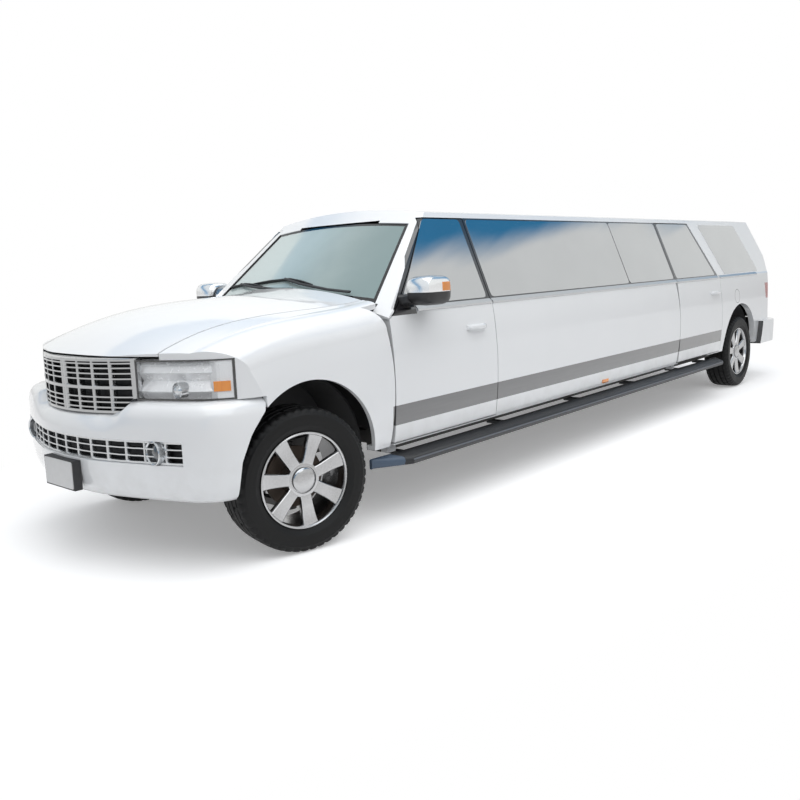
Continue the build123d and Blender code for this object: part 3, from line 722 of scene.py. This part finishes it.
def bumper_place(column, height, inset):
    """A point of the bumper's face, kept clear of the wheel arch."""
    last = len(plan) - 1
    k = min(column, last - column)
    if k < arch_columns:
        end = -max(bumper_end, math.sqrt(max(0.0, arch_radius ** 2 - (height - arch_z) ** 2)))
        first = min(range(arch_columns), key=lambda n: abs(plan[n].y - end))
        k = first + (arch_columns - first) * k / arch_columns
    k = k if column * 2 <= last else last - k
    base = int(min(k, last - 1))
    spot = plan[base].lerp(plan[base + 1], k - base)
    run = plan[min(base + 2, last)] - plan[max(base - 1, 0)]
    inward = Vector((-run.y, run.x)).normalized() if run.length else Vector((0, 1))
    if inward.dot(plan_middle - spot) < 0:
        inward = -inward
    spot = spot + inward * inset
    return Vector((spot.x, front_axle + spot.y, height))


columns = list(range(0, len(plan), column_stride))
in_slot = [abs(plan[column].x) < slot_half for column in columns]
rows = []
for from_top, level, inset in bumper_rows:
    row = []
    for column in columns:
        share = (abs(plan[column].x) - rise_start) / rise_width
        top = middle_top + lamp_rise * min(1.0, max(0.0, share))
        row.append(bumper_place(column, top - level if from_top else level, inset))
    rows.append(row)


def bumper_opening(i, k):
    """The faces that are cut out for the lower grille."""
    return bumper_rows[i] == slot_row and in_slot[k] and in_slot[k + 1]


bumper = thickened(rows, bumper_skin, bumper_opening)
fit("bumper_skin", bumper, painted("nose_paint", inner_nose), "body", ["front_bumper"], crease=50)


# Grilles: plated egg-crate mouldings, a tall bright one under the hood and a long low satin
# one in the bumper, both clipped in before a black backing.
def nose_curve(x, nose=-0.868, sweep=0.983):
    """A point of the bowed nose, from its foremost place and its radius."""
    return Vector((x, front_axle + nose + sweep - math.sqrt(sweep * sweep - x * x), 0))


def bumper_curve(x):
    """A point just behind the bumper's face."""
    k = min(range(len(plan)), key=lambda n: abs(plan[n].x - x))
    return Vector((x, front_axle + plan[k].y + 0.014, 0))


def lattice_bar(half, level, half_height, depth, curve, steps=24):
    """A level bar that follows a curve, from one side to the other."""
    path = []
    for k in range(steps + 1):
        path.append(curve(-half + 2 * half * k / steps) + Vector((0, depth / 2, level)))
    return rail(path, depth / 2, half_height, Vector((0, 1, 0)))


def upright_bar(x, foot, head, half_width, depth, curve):
    """An upright bar whose face lies on a curve."""
    path = [curve(x) + Vector((0, depth / 2, z)) for z in (foot, head)]
    return rail(path, half_width, depth / 2, Vector((1, 0, 0)), Vector((0, 1, 0)))


plated = mottled("plated_moulding", (30.0, 4.0), (0.38, 0.385, 0.39), (0.47, 0.475, 0.48), (0.10, 0.1),
                 {"Metallic": 1.0})
grille_half = 0.485
grille_foot = 0.838
grille_head = 1.124
corner_cut = 0.080
frame_depth = 0.05
frame_inset = 0.006
shapes = [lattice_bar(grille_half, grille_head - 0.008, 0.010, frame_depth, nose_curve),
          lattice_bar(grille_half - corner_cut, grille_foot + 0.010, 0.011, frame_depth, nose_curve),
          lattice_bar(grille_half, 0.974, 0.013, 0.045, nose_curve)]
for level in (0.871, 0.899, 0.925, 1.019, 1.047, 1.075, 1.099):
    half = grille_half - max(0.0, grille_foot + corner_cut - level) - 0.004
    shapes.append(lattice_bar(half, level, 0.0062, 0.034, nose_curve))
# Each row is an upright's place across the nose and half its width.
upright_rows = [(0.012, 0.012), (0.134, 0.006), (0.246, 0.006), (0.358, 0.006)]
for side in (-1, 1):
    edge = grille_half - frame_inset
    elbow = grille_foot + corner_cut
    shapes.append(upright_bar(side * edge, elbow, grille_head, 0.010, frame_depth, nose_curve))
    corner = [nose_curve(side * (edge - run)) + Vector((0, frame_depth / 2, elbow - run))
              for run in (0.0, corner_cut / 2, corner_cut)]
    shapes.append(rail(corner, 0.009, frame_depth / 2, Vector((0.7, 0, 0.7 * side)), Vector((0, 1, 0))))
    for x, half_width in upright_rows:
        shapes.append(upright_bar(side * x, grille_foot + 0.005, grille_head, half_width, 0.04, nose_curve))
cover_steps = 24
cover_level = 1.122
cover_climb = 0.004
rows = []
for share in (0.0, 0.5, 1.0):
    row = []
    for k in range(cover_steps + 1):
        x = -grille_half + 2 * grille_half * k / cover_steps
        hood_edge = nose_curve(x, nose=-0.780, sweep=1.628)
        row.append(nose_curve(x).lerp(hood_edge, share) + Vector((0, 0, cover_level + cover_climb * share)))
    rows.append(row)
shapes.append(thickened(rows, 0.004))
fit("upper_grille_lattice", joined(*shapes), plated, "body", ["upper_grille"])
satin = mottled("satin_chrome", (30.0, 4.0), (0.52, 0.53, 0.54), (0.60, 0.61, 0.62), (0.18, 0.1),
                {"Metallic": 1.0})
bar_depth = 0.030
bar_half = 0.0052
upright_pitch = 0.1190
shapes = []
for level, half_height in ((0.606, 0.008), (0.640, bar_half), (0.678, bar_half), (0.712, 0.008)):
    shapes.append(lattice_bar(slot_half - 0.006, level, half_height, bar_depth, bumper_curve, 60))
for k in range(-7, 8):
    shapes.append(upright_bar(upright_pitch * k, slot_low + 0.002, slot_high - 0.002, bar_half, bar_depth,
                              bumper_curve))
fit("lower_grille_lattice", joined(*shapes), satin, "body", ["lower_grille"])
backing_depth = 0.004
slot_backing = lattice_bar(slot_half - 0.002, 0.659, 0.070, backing_depth,
                           lambda x: bumper_curve(x) + Vector((0, 0.055, 0)), 60)
nose_backing = lattice_bar(grille_half - 0.015, 0.985, 0.130, backing_depth,
                           lambda x: nose_curve(x) + Vector((0, 0.06, 0)))
fit("grille_backing", joined(slot_backing, nose_backing), grained, "body")

# Lamps: clear moulded lenses with a black edge over bright reflectors that bulge in two long
# pods, an amber marker at the outer end, fog lamps in the lower grille, red lenses behind.
clear_lens, wire = new_finish("clear_lens")
x, y, z = wire.axes()
haze = wire.noise(8.0)
lens_head = 1.106
lens_foot = 0.917
lens_inner = 0.498
lens_rear = front_axle - 0.459
edge = (z > lens_head) | (z < lens_foot) | (y > lens_rear) | (abs(x) < lens_inner)
surfaced(clear_lens, wire, {"Base Color": edge.tint((0.85, 0.87, 0.88, 1), (0.010, 0.010, 0.012, 1)),
                            "Roughness": 0.02 + haze * 0.02, "IOR": 1.49, "Alpha": 0.06 + edge * 0.94,
                            "Coat Weight": 1.0})
reflector = mottled("lamp_reflector", (40.0, 3.0), (0.93, 0.94, 0.95), (0.98, 0.98, 0.99), (0.18, 0.15),
                    {"Metallic": 0.25})
amber = mottled("amber_lens", (60.0, 1.0, (6, 0.3, 0.3)), (0.72, 0.20, 0.01), (0.90, 0.33, 0.03),
                (0.1, 0.1), {"Coat Weight": 1.0})
red_lens = mottled("red_lens", (40.0, 1.0, (0.2, 0.2, 6)), (0.35, 0.01, 0.012), (0.5, 0.02, 0.02),
                   (0.08, 0.08), {"Coat Weight": 1.0})
put(red_lens, "tail_lamps")
lamp_plan = smooth([(0.488, -0.725), (0.620, -0.677), (0.750, -0.617), (0.860, -0.540), (0.925, -0.475),
                    (0.946, -0.446)], 6)
lamp_columns = range(len(lamp_plan))
lamp_tree = tree_of("headlamps", "fenders")
lens_proud = 0.003
search_start = 0.25
search_length = 0.40
# Each row is a level on the lamp and how deep the reflector lies behind the lens there.
lamp_rows = [(0.908, 0.060), (0.922, 0.048), (0.950, 0.030), (0.980, 0.046), (1.002, 0.062),
             (1.020, 0.046), (1.045, 0.026), (1.075, 0.030), (1.098, 0.048), (1.114, 0.060)]


def lamp_point(k, level, depth):
    """A point of the lamp's face, or of a face that lies deeper."""
    spot = lamp_plan[k]
    run = lamp_plan[min(k + 1, len(lamp_plan) - 1)] - lamp_plan[max(k - 1, 0)]
    outward = Vector((run.y, -run.x, 0)).normalized()
    place = Vector((spot.x, front_axle + spot.y, level))
    hit = lamp_tree.ray_cast(place + outward * search_start, -outward, search_length)[0]
    return (hit or place) + outward * (lens_proud - depth)


def both_sides(shape):
    """The left-hand shape with its twin, as one."""
    return joined(mirrored(shape), shape)


lens_rows = [[lamp_point(k, level, 0.0) for k in lamp_columns] for level, depth in lamp_rows]
bowl_rows = [[lamp_point(k, level, depth) for k in lamp_columns] for level, depth in lamp_rows]
marker_columns = [k for k in lamp_columns if -0.535 < lamp_plan[k].y < -0.462]
marker_levels = (0.952, 0.962, 0.992, 1.003)
marker_depth = -0.0015
marker_rows = [[lamp_point(k, level, marker_depth) for k in marker_columns] for level in marker_levels]
fit("headlamp_lenses", both_sides(thickened(lens_rows, 0.003)), clear_lens, "body")
fit("headlamp_bowls", both_sides(thickened(bowl_rows, 0.004)), reflector, "body", ["headlamps"])
fit("headlamp_markers", both_sides(thickened(marker_rows, 0.002)), amber, "body")
fog_glass = mottled("fog_lamp_glass", (20.0,), (0.05, 0.055, 0.06), (0.12, 0.125, 0.13), (0.04, 0.04),
                    {"Metallic": 0.5, "Coat Weight": 1.0})
face_front = Matrix.Rotation(math.radians(90), 4, "Z")
bulb_profile = [(0.050, 0.040), (0.0, 0.041), (-0.004, 0.037), (0.004, 0.033), (-0.004, 0.028),
                (-0.014, 0.016), (-0.016, 0.004)]
fog_profile = [(0.050, 0.062), (-0.006, 0.063), (-0.010, 0.059), (-0.004, 0.053), (0.030, 0.050),
               (0.050, 0.050)]
fog_bowl_profile = [(0.040, 0.051), (0.020, 0.050), (0.010, 0.034), (0.002, 0.018), (0.000, 0.004)]
bulb_place = Vector((0.700, front_axle - 0.628, 0.957))
fog_reach = 0.655
fog_level = 0.659
fog_proud = 0.006
bulbs = []
fog_rings = []
fog_bowls = []
for side in (-1, 1):
    bulb_turn = Matrix.Translation((side * bulb_place.x, bulb_place.y, bulb_place.z)) @ face_front
    bulbs.append(placed(turned(bulb_profile, 40), bulb_turn))
    fog_place = bumper_curve(side * fog_reach) + Vector((0, -fog_proud, fog_level))
    fog_turn = Matrix.Translation(fog_place) @ face_front
    fog_rings.append(placed(turned(fog_profile, 48, loop=True), fog_turn))
    fog_bowls.append(placed(turned(fog_bowl_profile, 48), fog_turn))
fit("headlamp_projectors", joined(*bulbs), satin, "body")
fit("fog_lamp_bowls", joined(*fog_bowls), fog_glass, "body")
fit("fog_lamps", joined(*fog_rings), satin, "body")


# Side trim: a rolled bright strip clipped along the foot of the side windows, one length to
# each panel, white handles on the doors, a bright pull on the tailgate, and an amber marker
# low on the sill.
def on_side(tree, y, z):
    """The outermost point of the left side at this place."""
    return tree.ray_cast(Vector((3.0, y, z)), Vector((-1, 0, 0)))[0]


def fit_pair(name, shape, finish, body, replaced=()):
    """Fits a left-hand shape and its twin; the braces in a name stand for the side."""
    for side, half in (("right", mirrored(shape)), ("left", shape)):
        stood_for = [node.format(side) for node in replaced]
        fit(name.format(side), half, finish, body.format(side), stood_for)


# Each row is the panel, the body that its strip rides on, the left-hand node that it lies on,
# and where it starts and ends behind the front axle.
strip_rows = [("front_door", "front_door_{}", "front_door_left", 0.945, 1.738),
              ("side_panels", "body", "side_panels", 1.750, 4.874),
              ("rear_door", "rear_door_{}", "rear_door_left", 4.884, 5.944),
              ("quarter_panels", "body", "quarter_panels", 5.998, 7.180)]
# Each row is a height on the strip and how far it stands off the panel there.
strip_levels = [(1.248, 0.000), (1.250, 0.005), (1.257, 0.0075), (1.262, 0.0075)]
strip_step = 0.15
strip_crown = (0.952, 1.283)
panel_x = 0.966
for name, body, node, start, end in strip_rows:
    tree = tree_of(node)
    count = 2 + int((end - start) / strip_step)
    rings = []
    for k in range(count):
        y = front_axle + start + (end - start) * k / (count - 1)
        face = [on_side(tree, y, z) or Vector((panel_x, y, z)) for z, proud in strip_levels]
        outer = [point + Vector((proud, 0, 0)) for point, (z, proud) in zip(face, strip_levels)]
        crown = Vector((strip_crown[0], y, strip_crown[1]))
        rings.append(outer + [crown, crown - Vector((0.012, 0, 0.004)), face[0] - Vector((0.010, 0, 0))])
    fit_pair(name + "_strip_{}", skin(rings), satin, body)
handle_level = 1.105
# Each row is a place along the handle and how far it stands off the door there.
handle_rows = [(-0.098, 0.004), (-0.088, 0.020), (-0.070, 0.030), (0.0, 0.034), (0.070, 0.030),
               (0.088, 0.020), (0.098, 0.004)]
handle_paint = painted("handle_paint", inner_nose)
for name, station in (("front_door", 1.512), ("rear_door", 5.800)):
    tree = tree_of(f"{name}_left")
    path = []
    for run, proud in handle_rows:
        path.append(on_side(tree, front_axle + station + run, handle_level) + Vector((proud, 0, 0)))
    fit_pair(name + "_handle_{}", rail(path, 0.009, 0.015), handle_paint, name + "_{}")
pull_level = 1.080
# Each row is a place across the tailgate and how far the pull stands off it there.
pull_rows = [(-0.30, 0.004), (-0.28, 0.012), (-0.14, 0.012), (0.0, 0.012), (0.14, 0.012), (0.28, 0.012),
             (0.30, 0.004)]
tree = tree_of("tailgate")
path = []
for x, proud in pull_rows:
    path.append(tree.ray_cast(Vector((x, 9.0, pull_level)), Vector((0, -1, 0)))[0] + Vector((0, proud, 0)))
fit("tailgate_pull", rail(path, 0.008, 0.016, Vector((0, 1, 0))), satin, "tailgate")
marker_station = 3.36
marker_level = 0.490
marker_proud = 0.003
tree = tree_of("side_panels")
path = []
for run in (-0.05, -0.04, 0.04, 0.05):
    path.append(on_side(tree, front_axle + marker_station + run, marker_level) + Vector((marker_proud, 0, 0)))
fit("side_markers", both_sides(rail(path, 0.006, 0.014)), amber, "body")

# Mirrors: a rounded moulded head on a short arm bolted to each front door, chromed over its
# upper half and black below, with an amber lamp let into the outer end.
shell, wire = new_finish("mirror_shell")
x, y, z = wire.axes()
cap_foot = 1.368
cap_rear = front_axle + 1.010
cap = (z > cap_foot) & (y < cap_rear)
signal_foot = 1.372
signal_head = 1.425
signal_front = front_axle + 0.93
signal_reach = 1.150
signal = (z > signal_foot) & (z < signal_head) & (y > signal_front) & (abs(x) > signal_reach)
speck = wire.noise(300.0)
colour = cap.tint(speck.tint((0.012, 0.012, 0.013, 1), (0.022, 0.022, 0.024, 1)), (0.86, 0.87, 0.88, 1))
surfaced(shell, wire, {"Base Color": signal.tint(colour, (0.80, 0.30, 0.08, 1)),
                       "Metallic": (cap - signal) | 0.0, "Roughness": 0.34 - cap * 0.12})
# Each row is a place across the head and the share of its full section there.
head_rows = [(0.984, 0.45), (0.988, 0.72), (1.000, 0.88), (1.030, 0.97), (1.095, 1.0), (1.150, 0.965),
             (1.170, 0.88), (1.179, 0.72), (1.182, 0.45)]
head_steps = 40
head_y = front_axle + 0.920
head_z = 1.376
head_length = 0.118
head_height = 0.090


def squared(value, power):
    """A sine or cosine pushed outwards, so that a circle turns into a rounded box."""
    return math.copysign(abs(value) ** power, value)


rings = []
for x, share in head_rows:
    ring = []
    for k in range(head_steps):
        angle = 2 * math.pi * k / head_steps
        run = squared(math.cos(angle), 0.55) * head_length * share
        rise = squared(math.sin(angle), 0.60) * head_height * share
        ring.append((x, head_y + run, head_z + rise))
    rings.append(ring)
arm_path = [Vector((0.905, front_axle + 0.872, 1.322)), Vector((0.960, front_axle + 0.876, 1.322)),
            Vector((1.020, front_axle + 0.890, 1.332))]
head = joined(skin(rings), rail(arm_path, 0.060, 0.034, Vector((0, 1, 0))))
fit_pair("mirror_{}_head", head, shell, "front_door_{}", ["mirror_{}"])

# Running boards: long black mouldings with ribbed tops, raked ends and dark blue-grey end
# caps, on stays from the frame. The plate is a blank pressed sheet on its holder.
board_finish, wire = new_finish("board_plastic")
x, y, z = wire.axes()
rib_turns = 420.0
ribs = wire.maths("SINE", abs(x) * rib_turns)
ribbed_level = 0.398
ribbed_inner = 0.95
ribbed_outer = 1.08
ribbed = (z > ribbed_level) & (abs(x) > ribbed_inner) & (abs(x) < ribbed_outer)
cap_end = front_axle + 0.655
lip_reach = 1.1015
lip_foot = 0.376
lip = (abs(x) > lip_reach) & (z > lip_foot)
grain = wire.noise(500.0)
colour = grain.tint((0.004, 0.005, 0.007, 1), (0.010, 0.011, 0.014, 1))
colour = lip.tint(colour, (0.10, 0.11, 0.13, 1))
surfaced(board_finish, wire, {"Base Color": (y < cap_end).tint(colour, (0.055, 0.085, 0.13, 1)),
                              "Roughness": 0.35 + grain * 0.2,
                              "Normal": wire.bump(ribs * ribbed, 0.6, 0.002)})
board_inner = 0.930
board_profile = [(board_inner, 0.352), (board_inner, 0.392), (0.938, 0.400), (1.082, 0.400),
                 (1.100, 0.390), (1.105, 0.374), (1.096, 0.352), (1.070, 0.345), (0.945, 0.345)]
# Each row is a place behind the front axle, the share of the full width and the drop there.
board_rows = [(0.490, 0.12, 0.004), (0.500, 0.16, 0.0), (0.700, 1.0, 0.0), (5.740, 1.0, 0.0),
              (5.930, 0.16, 0.0), (5.940, 0.12, 0.004)]
rings = []
for s, share, drop in board_rows:
    rings.append([(board_inner + (x - board_inner) * share, front_axle + s, z - drop)
                  for x, z in board_profile])
shapes = [skin(rings)]
for s in (0.80, 1.90, 3.00, 4.00, 5.00, 5.70):
    stay = [Vector((x, front_axle + s, 0.380)) for x in (0.790, 0.860, 0.940)]
    shapes.append(rail(stay, 0.020, 0.015, Vector((0, 1, 0))))
fit("step_boards", both_sides(joined(*shapes)), board_finish, "body", ["running_boards"])
blank = mottled("blank_plate", (30.0, 4.0), (0.60, 0.60, 0.60), (0.70, 0.70, 0.70), (0.35, 0.2),
                {"Metallic": 0.1})
plate_half = 0.150
plate_foot = 0.438
plate_head = 0.584
plate_faces = (0.9405, 0.944, 0.9445)
outline = rounded([(-plate_half, plate_foot), (-plate_half, plate_head), (plate_half, plate_head),
                   (plate_half, plate_foot)], 0.012)
plate = skin([[(x, front_axle - reach, z) for x, z in outline] for reach in plate_faces])
fit("front_plate", plate, blank, "body")


# Seats: two front chairs and a lounge bench along the cabin's side and back, foam under black
# hide, each cushion swollen between its seams.
def cushion(low, high, puff=0.012, lean=0.0, power=5.0, cuts=10):
    """A stuffed block with rounded edges and a swollen middle."""
    low = Vector(low)
    high = Vector(high)
    middle = (low + high) / 2
    half = (high - low) / 2
    shares = [2 * k / cuts - 1 for k in range(cuts + 1)]

    def swollen(axis, sign, across, over):
        """A point of the cushion for a point on one face of a cube."""
        spot = [0.0, 0.0, 0.0]
        spot[axis] = sign
        spot[(axis + 1) % 3] = across
        spot[(axis + 2) % 3] = over
        length = sum(abs(share) ** power for share in spot) ** (1 / power)
        swell = 1 + puff / min(half) * (1 - across ** 2) * (1 - over ** 2)
        point = Vector([m + share / length * h * swell for m, share, h in zip(middle, spot, half)])
        point.y += (point.z - low.z) * lean
        return point

    whole = bmesh.new()
    for axis in range(3):
        for sign in (-1, 1):
            grid = [[whole.verts.new(swollen(axis, sign, across, over)) for over in shares]
                    for across in shares]
            for i in range(cuts):
                for k in range(cuts):
                    whole.faces.new((grid[i][k], grid[i][k + 1], grid[i + 1][k + 1], grid[i + 1][k]))
    bmesh.ops.remove_doubles(whole, verts=whole.verts, dist=0.0005)
    bmesh.ops.recalc_face_normals(whole, faces=whole.faces)
    return whole


hide = mottled("seat_hide", (220.0, 3.0), (0.03, 0.028, 0.026), (0.06, 0.056, 0.052), (0.4, 0.2),
               bump=(0.2, 0.0008))
seat_foot = 0.565
bench_top = 0.895
bench_puff = 0.008
back_lean = 0.185
shapes = []
for x in (-0.400, 0.400):
    shapes.append(cushion((x - 0.255, front_axle + 1.155, seat_foot), (x + 0.255, front_axle + 1.640, 0.835)))
    shapes.append(cushion((x - 0.250, front_axle + 1.605, 0.790), (x + 0.250, front_axle + 1.735, 1.490),
                          lean=back_lean))
seats = fit("front_seat_cushions", joined(*shapes), hide, "body", ["front_seats"])
shapes = []
for k in range(6):
    start = front_axle + 2.505 + 0.532 * k
    shapes.append(cushion((0.355, start, seat_foot), (0.825, start + 0.527, bench_top), bench_puff))
for k in range(2):
    start = -0.535 + 0.537 * k
    shapes.append(cushion((start, front_axle + 5.765, seat_foot),
                          (start + 0.533, front_axle + 6.295, bench_top), bench_puff))
bench = fit("lounge_cushions", joined(*shapes), hide, "body", ["lounge_seats"])

bpy.context.view_layer.update()
